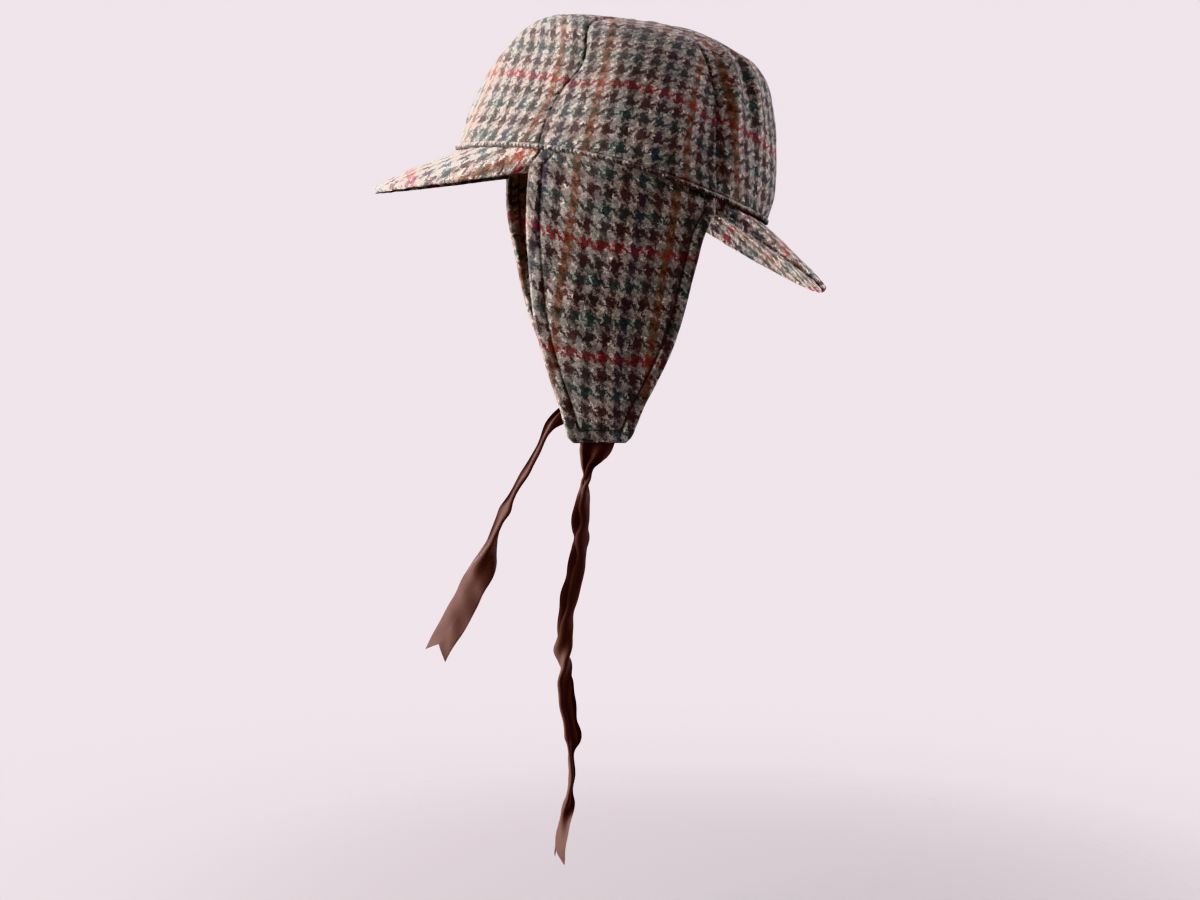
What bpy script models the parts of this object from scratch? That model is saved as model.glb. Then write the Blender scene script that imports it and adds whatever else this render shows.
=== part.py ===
"""Deerstalker hat: six-panel tweed crown, two peaks, two ear flaps and two ribbon ties.

Units are metres and +Z is up. The wearer faces -Y, so +X is the wearer's left, and the
origin is the centre of the head opening. Crown and peaks are modelled square to that
opening and hang from an empty that tips them back as worn. The ear flaps and the ties
hang down from the tipped rim, so they are modelled upright.
"""
from collections import namedtuple
from math import atan2, cos, exp, pi, radians, sin, tan

import bmesh
import bpy
import numpy as np

MM = 0.001

# ---- Driving sizes: lengths in millimetres, angles in degrees -------------------------
WORN_TILT = 14.0           # how far the hat is tipped back on the head
CROWN_WALL = 2.5           # tweed with its turned seam allowances
BRIM_THICKNESS = 4.6       # a peak: two layers of tweed over a stiffener
FLAP_THICKNESS = 4.4       # an ear flap: two layers of padded tweed
RIBBON_THICKNESS = 1.0
PIECE_GAP = 0.3            # clear space between neighbouring pieces
TUCK_ROWS = (8.0, 2.8)     # how far peaks and flaps reach up inside the crown's hem
TUCK_DROP = 0.4            # how far below the hem a peak turns outwards

# Crown: one row for each level section, its height and how far it reaches each way.
CrownSection = namedtuple("CrownSection", "height front side back")
CROWN_SECTIONS = (
    CrownSection(0.0, 103.8, 85.0, 102.4),
    CrownSection(18.0, 102.1, 84.3, 100.9),
    CrownSection(36.0, 99.3, 82.4, 97.6),
    CrownSection(52.0, 95.5, 79.2, 94.0),
    CrownSection(66.0, 88.5, 74.0, 89.2),
    CrownSection(78.0, 81.3, 67.4, 83.2),
    CrownSection(88.0, 71.5, 58.8, 75.0),
    CrownSection(95.0, 56.0, 47.0, 63.5),
    CrownSection(100.0, 35.0, 31.5, 46.0),
    CrownSection(102.6, 15.0, 14.5, 21.0),
    CrownSection(102.2, 0.0, 0.0, 0.0),
)
HEM_LEVEL = -1.0           # the hem at the centre front and back
HEM_ARCH = 8.8             # the hem rises this much over the ears
HEM_SKEW = 5.0             # and a little more towards the front
BACK_LIFT = 2.6            # the top is higher at the back by this much
HEM_ROLL = 0.9             # the turned hem stands out this far
HEM_ROWS = (0.0, 1.0, 2.6, 3.4)   # heights of the rows that round the turned hem
FIRST_LEVEL = 0.045        # the first row of a panel above its hem
PANEL_PUFF = 1.6           # each panel swells between its seams
PUFF_LEVEL = 0.17          # the swelling is full from this level up
CROWN_EYE = 2.4            # the panels' points stop this far from the centre of the top

# Dents of the worn crown: hand 1 is the left side, a negative depth is a ridge, and the
# spreads say how far each one reaches in degrees and in levels.
Dent = namedtuple("Dent", "hand azimuth level depth spread reach")
DENTS = (
    Dent(1, 84.0, 0.62, 2.2, 13.0, 0.09),
    Dent(1, 108.0, 0.66, -1.6, 10.0, 0.10),
    Dent(1, 133.0, 0.42, -1.5, 5.5, 0.24),
    Dent(1, 143.0, 0.45, 1.8, 6.5, 0.22),
    Dent(-1, 70.0, 0.64, 1.6, 12.0, 0.10),
    Dent(-1, 146.0, 0.40, 1.5, 8.0, 0.20),
)

# The seams of one side, by their azimuth from the centre front at the hem and at the top.
Seam = namedtuple("Seam", "hem top")
SEAMS = (Seam(0.0, 0.0), Seam(54.5, 53.0), Seam(123.0, 109.0), Seam(180.0, 180.0))
PANEL_NAMES = ("front", "side", "back")
PANEL_COLUMNS = 10
PANEL_ROWS = 14

# Peaks: measured square to the head opening, reach forwards or backwards from its centre.
Peak = namedtuple("Peak", "name facing end_azimuth corner_side corner_reach corner_drop tip_reach tip_drop")
PEAKS = (
    Peak("front_peak", -1, 54.0, 61.0, 62.0, 12.0, 149.0, 41.0),
    Peak("back_peak", 1, 56.0, 61.0, 56.0, 5.5, 150.4, 33.5),
)
PEAK_SPREAD = 7.0          # extra width half way round a peak's edge
PEAK_COLUMNS = 22
PEAK_EDGE = 0.45           # thickness left at a peak's edge, as a share
PEAK_STATIONS = (0.0, 0.2, 0.45, 0.7, 0.88, 1.0)

# Ear flap: one row for each level, with its front and back edge, side and inward curve.
FlapSection = namedtuple("FlapSection", "height front back side curve")
FLAP_SECTIONS = (
    FlapSection(24.0, -61.0, 58.0, 80.0, 14.0),
    FlapSection(2.0, -63.6, 56.0, 80.0, 13.0),
    FlapSection(-20.0, -64.2, 48.6, 79.5, 11.5),
    FlapSection(-50.0, -62.8, 42.0, 78.5, 9.0),
    FlapSection(-80.0, -60.4, 34.6, 76.5, 6.0),
    FlapSection(-104.0, -55.6, 26.6, 74.5, 4.0),
    FlapSection(-122.0, -50.0, 18.4, 72.6, 2.8),
    FlapSection(-140.0, -43.8, 8.8, 70.6, 1.8),
    FlapSection(-152.0, -40.2, 3.6, 69.2, 1.2),
    FlapSection(-158.0, -38.4, 0.8, 68.6, 0.8),
    FlapSection(-161.4, -35.0, -2.6, 68.2, 0.5),
)
FLAP_ROOT = (54.8, 121.6)  # azimuths between which a flap is sewn into the hem
FLAP_COLUMNS = 12
FLAP_ROWS = 18
FLAP_SETTLE = 0.13         # share of a flap's length that still follows the hem
FLAP_EDGE = 0.55           # thickness left at a flap's edge, as a share
RIGHT_FLAP_SWING = 19.0    # the right flap's end hangs this much further back

# Ribbon ties: one row for each bend; side is towards the wearer's outer side, turn is the
# ribbon's twist about its length and curl the angle that its width bends through.
TieSection = namedtuple("TieSection", "height reach side turn curl")
LEFT_TIE = (
    TieSection(-146.0, -18.6, 66.0, 0.0, 4.0),
    TieSection(-161.7, -19.0, 64.2, 0.0, 8.0),
    TieSection(-171.0, -22.8, 64.2, 40.0, 80.0),
    TieSection(-177.0, -24.9, 64.0, 62.0, 110.0),
    TieSection(-183.0, -26.2, 63.8, 90.0, 90.0),
    TieSection(-189.0, -27.4, 63.6, 82.0, 120.0),
    TieSection(-202.0, -27.5, 63.2, 72.0, 120.0),
    TieSection(-211.0, -28.8, 63.0, 65.0, 120.0),
    TieSection(-221.0, -28.2, 62.8, 76.0, 120.0),
    TieSection(-234.0, -30.5, 62.4, 60.0, 120.0),
    TieSection(-259.0, -35.5, 61.6, 60.0, 120.0),
    TieSection(-275.0, -37.8, 61.2, 68.0, 120.0),
    TieSection(-295.0, -39.4, 60.8, 69.0, 120.0),
    TieSection(-334.0, -35.1, 60.2, 73.0, 120.0),
    TieSection(-350.0, -32.7, 60.0, 70.0, 120.0),
    TieSection(-361.0, -34.3, 60.0, 90.0, 90.0),
    TieSection(-384.0, -35.1, 60.0, 90.0, 90.0),
    TieSection(-397.0, -37.4, 60.0, 80.0, 80.0),
    TieSection(-409.0, -39.5, 60.0, 76.0, 60.0),
    TieSection(-419.0, -41.6, 60.0, 70.0, 40.0),
)
RIGHT_TIE = (
    TieSection(-139.0, -2.0, 65.2, 0.0, 4.0),
    TieSection(-146.0, -13.0, 64.4, 0.0, 10.0),
    TieSection(-152.0, -25.0, 61.2, 24.0, 60.0),
    TieSection(-157.0, -31.8, 57.6, 75.0, 110.0),
    TieSection(-164.0, -37.3, 56.0, 90.0, 110.0),
    TieSection(-183.0, -46.7, 54.8, 90.0, 100.0),
    TieSection(-203.0, -58.6, 54.2, 88.0, 120.0),
    TieSection(-220.0, -66.9, 53.6, 80.0, 120.0),
    TieSection(-231.0, -71.0, 53.2, 86.0, 120.0),
    TieSection(-239.0, -74.7, 52.8, 78.0, 110.0),
    TieSection(-250.0, -79.9, 52.2, 57.0, 50.0),
    TieSection(-260.0, -83.3, 51.8, 52.0, 40.0),
    TieSection(-283.0, -94.8, 50.8, 45.0, 20.0),
    TieSection(-305.0, -107.8, 49.8, 45.0, 14.0),
)
RIBBON_WIDTH = 22.0
RIBBON_COLUMNS = 6
RIBBON_STEP = 6.0          # spacing of the ribbon's cross-sections
SWALLOW_TAIL = 8.0         # depth of the notch cut in a ribbon's end
TAIL_START = 32.0          # the cross-sections begin to lean into the notch this far from the end

TWEED_COLOUR = (0.25, 0.19, 0.165, 1.0)
RIBBON_COLOUR = (0.07, 0.026, 0.02, 1.0)


# ---- Curves and frames ----------------------------------------------------------------
def through(places, values, place):
    """A smooth curve through the values at rising places, read at one place."""
    places = np.asarray(places, float)
    values = np.asarray(values, float)
    slopes = np.gradient(values, places)
    k = int(np.clip(np.searchsorted(places, place) - 1, 0, len(places) - 2))
    span = places[k + 1] - places[k]
    t = (place - places[k]) / span
    blend = t * t * (3.0 - 2.0 * t)
    bend_out = t * (1.0 - t) ** 2 * slopes[k]
    bend_in = t * t * (1.0 - t) * slopes[k + 1]
    return values[k] + (values[k + 1] - values[k]) * blend + span * (bend_out - bend_in)


def ease(t):
    """Rises smoothly from 0 to 1 as t does."""
    t = min(max(t, 0.0), 1.0)
    return t * t * (3.0 - 2.0 * t)


def mix(a, b, t):
    return a + (b - a) * t


def unit(vector):
    return vector / np.linalg.norm(vector)


def worn(point):
    """Tips a point of the crown's own frame back to where it is worn."""
    tilt = radians(WORN_TILT)
    x, y, z = point
    return np.array([x, y * cos(tilt) + z * sin(tilt), z * cos(tilt) - y * sin(tilt)])


# ---- Solids ---------------------------------------------------------------------------
def material(name, colour, roughness):
    made = bpy.data.materials.new(name)
    made.use_nodes = True
    shader = made.node_tree.nodes["Principled BSDF"]
    shader.inputs["Base Color"].default_value = colour
    shader.inputs["Roughness"].default_value = roughness
    return made


def grid_normals(grid):
    """Unit normals of a grid of points, from its neighbours along both directions."""
    down = np.gradient(grid, axis=0, edge_order=2)
    across = np.gradient(grid, axis=1, edge_order=2)
    normals = np.cross(across, down)
    return normals / np.linalg.norm(normals, axis=2, keepdims=True)


def sheet(name, grid, above, below, finish):
    """A closed sheet around a grid of points, with its thickness on each side of the grid."""
    normals = grid_normals(grid)
    rows, columns = grid.shape[:2]
    top = grid + normals * np.asarray(above)[..., None]
    bottom = grid - normals * np.asarray(below)[..., None]
    points = np.concatenate([top.reshape(-1, 3), bottom.reshape(-1, 3)])

    def place(row, column, under):
        return under * rows * columns + row * columns + column

    faces = []
    for row in range(rows - 1):
        for column in range(columns - 1):
            ring = ((row, column), (row + 1, column), (row + 1, column + 1), (row, column + 1))
            faces.append([place(r, c, 0) for r, c in ring])
            faces.append([place(r, c, 1) for r, c in reversed(ring)])
    border = [(0, c) for c in range(columns)]
    border += [(r, columns - 1) for r in range(1, rows)]
    border += [(rows - 1, c) for c in range(columns - 2, -1, -1)]
    border += [(r, 0) for r in range(rows - 2, 0, -1)]
    for (r0, c0), (r1, c1) in zip(border, border[1:] + border[:1]):
        faces.append([place(r0, c0, 0), place(r1, c1, 0), place(r1, c1, 1), place(r0, c0, 1)])

    mesh = bpy.data.meshes.new(name)
    mesh.from_pydata((points * MM).tolist(), [], faces)
    shaped = bmesh.new()
    shaped.from_mesh(mesh)
    bmesh.ops.recalc_face_normals(shaped, faces=shaped.faces)
    shaped.to_mesh(mesh)
    shaped.free()
    mesh.shade_smooth()
    mesh.set_sharp_from_angle(angle=radians(40.0))
    mesh.materials.append(finish)
    made = bpy.data.objects.new(name, mesh)
    bpy.context.collection.objects.link(made)
    return made


# ---- Crown ----------------------------------------------------------------------------
LEVELS = np.linspace(0.0, 1.0, len(CROWN_SECTIONS))
CROWN_TOP = max(section.height for section in CROWN_SECTIONS)


def crown_column(name, level):
    return through(LEVELS, [getattr(section, name) for section in CROWN_SECTIONS], level)


def level_of(height):
    """The level of a height just above the hem."""
    return LEVELS[1] * height / CROWN_SECTIONS[1].height


def crown_base(azimuth, level):
    """The crown's even outer surface, from the hem at level 0 to the top at level 1."""
    turn = radians(azimuth)
    height = crown_column("height", level)
    reach = crown_column("front" if cos(turn) > 0.0 else "back", level)
    climbed = height / CROWN_TOP
    arch = HEM_LEVEL + sin(turn) ** 2 * (HEM_ARCH + HEM_SKEW * cos(turn))
    lift = BACK_LIFT * 0.5 * (1.0 - cos(turn)) * climbed**2
    z = height + arch * (1.0 - climbed) ** 2 + lift
    return np.array([crown_column("side", level) * sin(turn), -reach * cos(turn), z])


def crown_normal(azimuth, level):
    step = 0.004
    around = crown_base(azimuth + 0.5, level) - crown_base(azimuth - 0.5, level)
    low = max(level - step, 0.0)
    up = crown_base(azimuth, low + 2.0 * step) - crown_base(azimuth, low)
    return unit(np.cross(around, up))


def seam_azimuth(seam, level):
    return mix(seam.hem, seam.top, crown_column("height", level) / CROWN_TOP)


def seam_margin(seam, level):
    """The turn in degrees that keeps a panel half a gap away from its seam."""
    azimuth = seam_azimuth(seam, level)
    one_degree = crown_base(azimuth + 0.5, level) - crown_base(azimuth - 0.5, level)
    return 0.5 * PIECE_GAP / np.linalg.norm(one_degree)


def dented(hand, azimuth, level):
    """How far the dents of one side push the crown's surface in at a place."""
    depth = 0.0
    for dent in DENTS:
        if dent.hand == hand:
            away = ((azimuth - dent.azimuth) / dent.spread) ** 2 + ((level - dent.level) / dent.reach) ** 2
            depth += dent.depth * exp(-away)
    return depth


def crown_point(hand, azimuth, level, across):
    """A point of a panel that swells between its seams; across runs from 0 to 1."""
    puff = PANEL_PUFF * (1.0 - (2.0 * across - 1.0) ** 4) * ease(level / PUFF_LEVEL)
    swell = puff - dented(hand, azimuth, level)
    point = crown_base(azimuth, level) + crown_normal(azimuth, level) * swell
    return point * (hand, 1.0, 1.0)


def crown_panel(name, start, end, hand, finish):
    """One cloth panel between two seams, on the left for hand 1 and the right for -1."""
    hem_levels = [level_of(height) for height in HEM_ROWS]
    eye_level = 1.0 - LEVELS[1] * CROWN_EYE / CROWN_SECTIONS[-2].side
    levels = hem_levels + list(np.linspace(FIRST_LEVEL, eye_level, PANEL_ROWS))
    outer = []
    for level in levels:
        row = []
        low = seam_azimuth(start, level) + seam_margin(start, level)
        high = seam_azimuth(end, level) - seam_margin(end, level)
        for across in np.linspace(0.0, 1.0, PANEL_COLUMNS + 1):
            row.append(crown_point(hand, mix(low, high, across), level, across))
        outer.append(row)
    grid = np.array(outer)
    roll = np.zeros(grid.shape[:2])
    roll[1:3] = HEM_ROLL
    roll[0] = 0.5 * HEM_ROLL
    wall = np.full(grid.shape[:2], CROWN_WALL)
    if hand < 0:
        grid = grid[:, ::-1]
    return sheet(name, grid, roll, wall, finish)


# ---- Peaks ----------------------------------------------------------------------------
def inside_hem(azimuth, climb, thickness):
    """The middle of a sheet that lies against the inside of the crown, above its hem."""
    inset = CROWN_WALL + PIECE_GAP + 0.5 * thickness
    level = level_of(climb)
    return crown_base(azimuth, level) - crown_normal(azimuth, level) * inset


def peak_edge(peak, share):
    """A point of a peak's outer edge, for a share from -1 at one corner to 1 at the other."""
    sweep = 0.5 * pi * share
    reach = mix(peak.corner_reach, peak.tip_reach, cos(sweep))
    forward = (reach - peak.corner_reach) / (peak.tip_reach - peak.corner_reach)
    drop = mix(peak.corner_drop, peak.tip_drop, forward)
    side = peak.corner_side * sin(sweep) + PEAK_SPREAD * sin(2.0 * sweep)
    return np.array([side, peak.facing * reach, -drop])


def peak(shape, finish):
    """A curved peak: tucked up inside the hem, turned outwards under it and sloping down."""
    half = 0.5 * BRIM_THICKNESS
    columns = []
    for share in np.linspace(-1.0, 1.0, PEAK_COLUMNS + 1):
        azimuth = share * shape.end_azimuth
        if shape.facing > 0:
            azimuth = 180.0 - azimuth
        root = inside_hem(azimuth, 0.0, BRIM_THICKNESS)
        edge = peak_edge(shape, share)
        fall = root[2] - edge[2]
        run = np.linalg.norm((edge - root)[:2])
        slope = atan2(fall, run)
        bend = root - np.array([0.0, 0.0, TUCK_DROP + half * tan(0.5 * (0.5 * pi - slope))])
        column = [inside_hem(azimuth, climb, BRIM_THICKNESS) for climb in TUCK_ROWS]
        column += [mix(bend, edge, station) for station in PEAK_STATIONS]
        columns.append(column)
    grid = np.array(columns).transpose(1, 0, 2)
    thick = np.full(grid.shape[:2], half)
    thick[-1] = half * PEAK_EDGE
    return sheet(shape.name, grid, thick, thick, finish)


# ---- Ear flaps ------------------------------------------------------------------------
FLAP_HEIGHTS = [-section.height for section in FLAP_SECTIONS]


def flap_column(name, height):
    return through(FLAP_HEIGHTS, [getattr(section, name) for section in FLAP_SECTIONS], -height)


def flap_point(across, down, swing):
    """A point of the left flap's middle; across runs from its front edge to its back."""
    azimuth = mix(FLAP_ROOT[0], FLAP_ROOT[1], across)
    hem = worn(inside_hem(azimuth, 0.0, FLAP_THICKNESS))
    height = mix(hem[2], FLAP_SECTIONS[-1].height, down)
    front = flap_column("front", height)
    back = flap_column("back", height)
    off_centre = 2.0 * across - 1.0
    side = flap_column("side", height) - flap_column("curve", height) * off_centre**2
    settled = ease(down / FLAP_SETTLE)
    lean = swing * ease(down)
    free = np.array([side, mix(front, back, across) + lean, height])
    hung = np.array([hem[0], hem[1], height])
    return mix(hung, free, settled)


def ear_flap(name, hand, swing, finish):
    """A double-cloth flap, tucked up inside the hem and hanging to a rounded end."""
    rows = []
    for across in np.linspace(0.0, 1.0, FLAP_COLUMNS + 1):
        azimuth = mix(FLAP_ROOT[0], FLAP_ROOT[1], across)
        column = [worn(inside_hem(azimuth, climb, FLAP_THICKNESS)) for climb in TUCK_ROWS]
        column += [flap_point(across, down, swing) for down in np.linspace(0.0, 1.0, FLAP_ROWS + 1)]
        rows.append(column)
    grid = np.array(rows).transpose(1, 0, 2) * (hand, 1.0, 1.0)
    thick = np.full(grid.shape[:2], 0.5 * FLAP_THICKNESS)
    thick[-1] *= FLAP_EDGE
    thick[2:, 0] *= FLAP_EDGE
    thick[2:, -1] *= FLAP_EDGE
    return sheet(name, grid, thick, thick, finish)


# ---- Ribbon ties ----------------------------------------------------------------------
def ribbon_tie(name, sections, hand, finish):
    """A ribbon that hangs from the inside of a flap's end, twisted and curled on its way."""
    path = np.array([[section.side, section.reach, section.height] for section in sections])
    lengths = np.concatenate([[0.0], np.cumsum(np.linalg.norm(np.diff(path, axis=0), axis=1))])
    count = int(round(lengths[-1] / RIBBON_STEP))
    grid = []
    for distance in np.linspace(0.0, lengths[-1], count + 1):
        side, reach, height, turn, curl = (
            through(lengths, [getattr(section, column) for section in sections], distance)
            for column in ("side", "reach", "height", "turn", "curl")
        )
        centre = np.array([side, reach, height])
        ahead = [
            through(lengths, path[:, axis], min(distance + 1.0, lengths[-1]))
            - through(lengths, path[:, axis], max(distance - 1.0, 0.0))
            for axis in range(3)
        ]
        along = unit(np.array(ahead))
        level = unit(np.cross(np.array([1.0, 0.0, 0.0]), along))
        out = np.cross(along, level)
        across_way = level * cos(radians(turn)) + out * sin(radians(turn))
        depth_way = np.cross(across_way, along)
        bend = radians(max(curl, 1.0))
        radius = RIBBON_WIDTH / bend
        middle = sin(0.5 * bend) / (0.5 * bend)
        row = []
        for across in np.linspace(-1.0, 1.0, RIBBON_COLUMNS + 1):
            angle = 0.5 * bend * across
            tail = SWALLOW_TAIL * abs(across) * ease(1.0 - (lengths[-1] - distance) / TAIL_START)
            flat = centre + across_way * radius * sin(angle) + along * tail
            row.append(flat + depth_way * radius * (cos(angle) - middle))
        grid.append(row)
    grid = np.array(grid) * (hand, 1.0, 1.0)
    half = np.full(grid.shape[:2], 0.5 * RIBBON_THICKNESS)
    return sheet(name, grid, half, half, finish)


# ---- Assembly -------------------------------------------------------------------------
def build():
    for leftover in list(bpy.data.objects):
        bpy.data.objects.remove(leftover, do_unlink=True)
    tweed = material("tweed", TWEED_COLOUR, 0.95)
    ribbon = material("ribbon", RIBBON_COLOUR, 0.45)
    tilt = bpy.data.objects.new("worn_tilt", None)
    tilt.rotation_euler = (radians(-WORN_TILT), 0.0, 0.0)
    bpy.context.collection.objects.link(tilt)

    tipped = [peak(shape, tweed) for shape in PEAKS]
    for hand, side in ((1, "left"), (-1, "right")):
        for part, start, end in zip(PANEL_NAMES, SEAMS, SEAMS[1:]):
            tipped.append(crown_panel(f"crown_panel_{part}_{side}", start, end, hand, tweed))
    for piece in tipped:
        piece.parent = tilt

    ear_flap("ear_flap_left", 1, 0.0, tweed)
    ear_flap("ear_flap_right", -1, RIGHT_FLAP_SWING, tweed)
    ribbon_tie("tie_left", LEFT_TIE, 1, ribbon)
    ribbon_tie("tie_right", RIGHT_TIE, -1, ribbon)


build()
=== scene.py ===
"""The looks of a tweed deerstalker hat: woven check, sewn seams and edges, and satin ties."""
from collections import namedtuple
from math import cos, pi, radians, sin

import bmesh
import bpy
import numpy as np
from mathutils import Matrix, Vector


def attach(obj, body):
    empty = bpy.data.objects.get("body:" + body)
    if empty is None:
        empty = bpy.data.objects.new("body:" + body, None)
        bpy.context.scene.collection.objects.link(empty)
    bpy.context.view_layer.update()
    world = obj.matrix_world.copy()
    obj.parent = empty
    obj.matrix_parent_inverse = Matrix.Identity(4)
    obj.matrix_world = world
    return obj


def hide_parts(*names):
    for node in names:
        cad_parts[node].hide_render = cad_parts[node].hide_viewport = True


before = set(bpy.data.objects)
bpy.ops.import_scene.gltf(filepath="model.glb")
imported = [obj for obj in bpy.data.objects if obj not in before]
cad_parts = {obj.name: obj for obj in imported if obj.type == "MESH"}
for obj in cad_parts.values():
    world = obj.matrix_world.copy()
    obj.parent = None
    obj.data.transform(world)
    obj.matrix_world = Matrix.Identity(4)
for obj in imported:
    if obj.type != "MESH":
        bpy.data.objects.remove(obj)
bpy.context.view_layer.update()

MM = 0.001

# ---- Sizes that the solids have too: lengths in millimetres, angles in degrees ----
WORN_TILT = 14.0
BRIM_THICKNESS = 4.6
FLAP_THICKNESS = 4.4
CROWN_WALL = 2.5
PIECE_GAP = 0.3
TUCK_HEIGHT = 8.0
TUCK_DROP = 0.4

CrownSection = namedtuple("CrownSection", "height front side back")
CROWN_SECTIONS = [CrownSection(*row) for row in (
    (0.0, 103.8, 85.0, 102.4),
    (18.0, 102.1, 84.3, 100.9),
    (36.0, 99.3, 82.4, 97.6),
    (52.0, 95.5, 79.2, 94.0),
    (66.0, 88.5, 74.0, 89.2),
    (78.0, 81.3, 67.4, 83.2),
    (88.0, 71.5, 58.8, 75.0),
    (95.0, 56.0, 47.0, 63.5),
    (100.0, 35.0, 31.5, 46.0),
    (102.6, 15.0, 14.5, 21.0),
    (102.2, 0.0, 0.0, 0.0),
)]
HEM_LEVEL = -1.0
HEM_ARCH = 8.8
HEM_SKEW = 5.0
BACK_LIFT = 2.6
PUFF_LEVEL = 0.17

# Hollows (depth over 0) and ridges (under 0) of the worn crown, on the left for hand 1.
# Beside the left rear seam FOLDS has its own, in place of the two of the solids.
Dent = namedtuple("Dent", "hand azimuth level depth spread reach")
DENTS = (
    Dent(1, 84.0, 0.62, 2.2, 13.0, 0.09),
    Dent(1, 108.0, 0.66, -1.6, 10.0, 0.10),
    Dent(-1, 70.0, 0.64, 1.6, 12.0, 0.10),
    Dent(-1, 146.0, 0.40, 1.5, 8.0, 0.20),
)

Seam = namedtuple("Seam", "hem top")
SEAMS = (Seam(0.0, 0.0), Seam(54.5, 53.0), Seam(123.0, 109.0), Seam(180.0, 180.0))

Peak = namedtuple("Peak", "name facing end_azimuth corner_side corner_reach corner_drop tip_reach tip_drop")
PEAKS = (
    Peak("front_peak", -1, 54.0, 61.0, 62.0, 12.0, 149.0, 41.0),
    Peak("back_peak", 1, 56.0, 61.0, 56.0, 5.5, 150.4, 33.5),
)
PEAK_SPREAD = 7.0

FlapSection = namedtuple("FlapSection", "height front back side curve")
FLAP_SECTIONS = [FlapSection(*row) for row in (
    (24.0, -61.0, 58.0, 80.0, 14.0),
    (2.0, -63.6, 56.0, 80.0, 13.0),
    (-20.0, -64.2, 48.6, 79.5, 11.5),
    (-50.0, -62.8, 42.0, 78.5, 9.0),
    (-80.0, -60.4, 34.6, 76.5, 6.0),
    (-104.0, -55.6, 26.6, 74.5, 4.0),
    (-122.0, -50.0, 18.4, 72.6, 2.8),
    (-140.0, -43.8, 8.8, 70.6, 1.8),
    (-152.0, -40.2, 3.6, 69.2, 1.2),
    (-158.0, -38.4, 0.8, 68.6, 0.8),
    (-161.4, -35.0, -2.6, 68.2, 0.5),
)]
FLAP_ROOT = (54.8, 121.6)
FLAP_SETTLE = 0.13
RIGHT_FLAP_SWING = 19.0

# ---- Sizes of what is modelled here ----
PANEL_COLUMNS = 140
PANEL_ROWS = 116
PANEL_START = 6.0          # the first of these rows lies this far above the hem
PANEL_END = 0.9985         # and the last at this level, beside the centre of the top
ROLL_HEIGHTS = (0.0, 0.1, 0.42, 1.0, 1.65, 2.3, 2.9, 3.3, 3.7, 4.3, 5.1)  # rows up the hem
SEAM_CROWDING = 0.18       # the columns of a panel stand closer beside its seams
PANEL_CLOTH = 2.1          # thickness of a crown panel's cloth with what is sewn behind it
HEM_ROLL = 1.15            # the rolled hem stands out this far
HEM_HEIGHT = 3.3
HEM_BACK = 0.35            # at the back this share of the roll is left
HEM_FADE = (105.0, 150.0)  # between these azimuths the roll shrinks to that share
HEM_SAG = 2.2              # and hangs this much lower at the front
HEM_CLOTH = 0.9            # thickness of the cloth at the hem's lowest row
HEM_CREASE = 0.5           # depth of the crease above the roll
FOLDS = (                  # soft folds about the rear seams
    Dent(1, 126.5, 0.46, -2.7, 3.2, 0.26),
    Dent(1, 134.0, 0.47, 3.0, 3.8, 0.20),
    Dent(1, 141.5, 0.45, -2.0, 3.0, 0.26),
    Dent(1, 117.0, 0.42, 2.6, 9.0, 0.30),
    Dent(-1, 116.0, 0.40, 1.4, 9.0, 0.28),
    Dent(-1, 140.0, 0.42, -1.0, 5.0, 0.20),
)
SEAM_DEPTH = 0.55          # a sewn seam dips this far
SEAM_WIDTH = 0.75
SEAM_RIDGE = 0.15          # turned allowances lift the cloth beside a seam
SEAM_RIDGE_PLACE = 3.4
SEAM_RIDGE_WIDTH = 1.8
PUCKER_DEPTH = 0.22        # the sewing draws the cloth beside it into small puckers
PUCKER_PITCH = 7.5
PUCKER_REACH = 5.0
PEAK_COLUMNS = 150
PEAK_ROWS = 32             # rows between the hem and the peak's rim
PEAK_TUCK_ROWS = (TUCK_HEIGHT, 5.0, 2.4)  # rows that lie hidden inside the crown's hem
PEAK_RIM_START = 6.0       # the rim's rows begin this far inside the edge
PEAK_RIM_ROWS = (5.2, 4.6, 4.0, 3.4, 2.8, 2.2, 1.7, 1.25, 0.85, 0.5, 0.25, 0.1, 0.02, 0.0)
FAR = 100.0                # rows inside the hem count as this far from any edge
LEAST_ROUND = 0.0004       # an edge keeps the root of this as a share of its thickness
PEAK_EDGE_RADIUS = 1.5
PEAK_RIM = (0.95, 0.62)    # thickness left at a peak's edge, as a share: ahead, and beside
PEAK_THINNING = 14.0       # a peak thins over this distance towards its edge
PEAK_LIFT = {"front_peak": 2.2, "back_peak": 0.0}  # worn, the corners of a peak ride up a little
PEAK_STITCH_INSET = 4.6    # the topstitching of a peak runs this far inside its edge
PEAK_STITCH_DEPTH = 0.35
PEAK_STITCH_WIDTH = 0.9
FLAP_COLUMNS = 90          # columns and rows of a flap between its crowded edges
FLAP_ROWS = 138
FLAP_EDGE_PLACES = (0.0, 0.0008, 0.003, 0.0065, 0.011, 0.0165, 0.023, 0.031)
FLAP_TUCK_ROWS = (TUCK_HEIGHT, 4.0, 1.6)
FLAP_FRONT_SETTLE = 0.06   # the front corner comes out from under the hem sooner than the rest
FLAP_EASING = 0.6          # and near the hem the flap is flatter across by this share
FLAP_REAR_CORNER = 3.0     # the rear corner stands out this far under the hem
REAR_CORNER_WAY = (0.35, 1.0, 0.0)  # backwards, and a little sideways
FLAP_STITCH_INSET = 8.6
FLAP_STITCH_WIDTH = 1.25
FLAP_EDGE_RADIUS = 2.4
STITCH_DEPTH = 0.75
RIBBON_WIDTH = 22.0
RIBBON_CLOTH = 0.35
RIBBON_COLUMNS = 56
RIBBON_STEP = 0.9
SELVEDGE = (0.12, 0.25)    # a ribbon thins over this share of its half width, to that share
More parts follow.
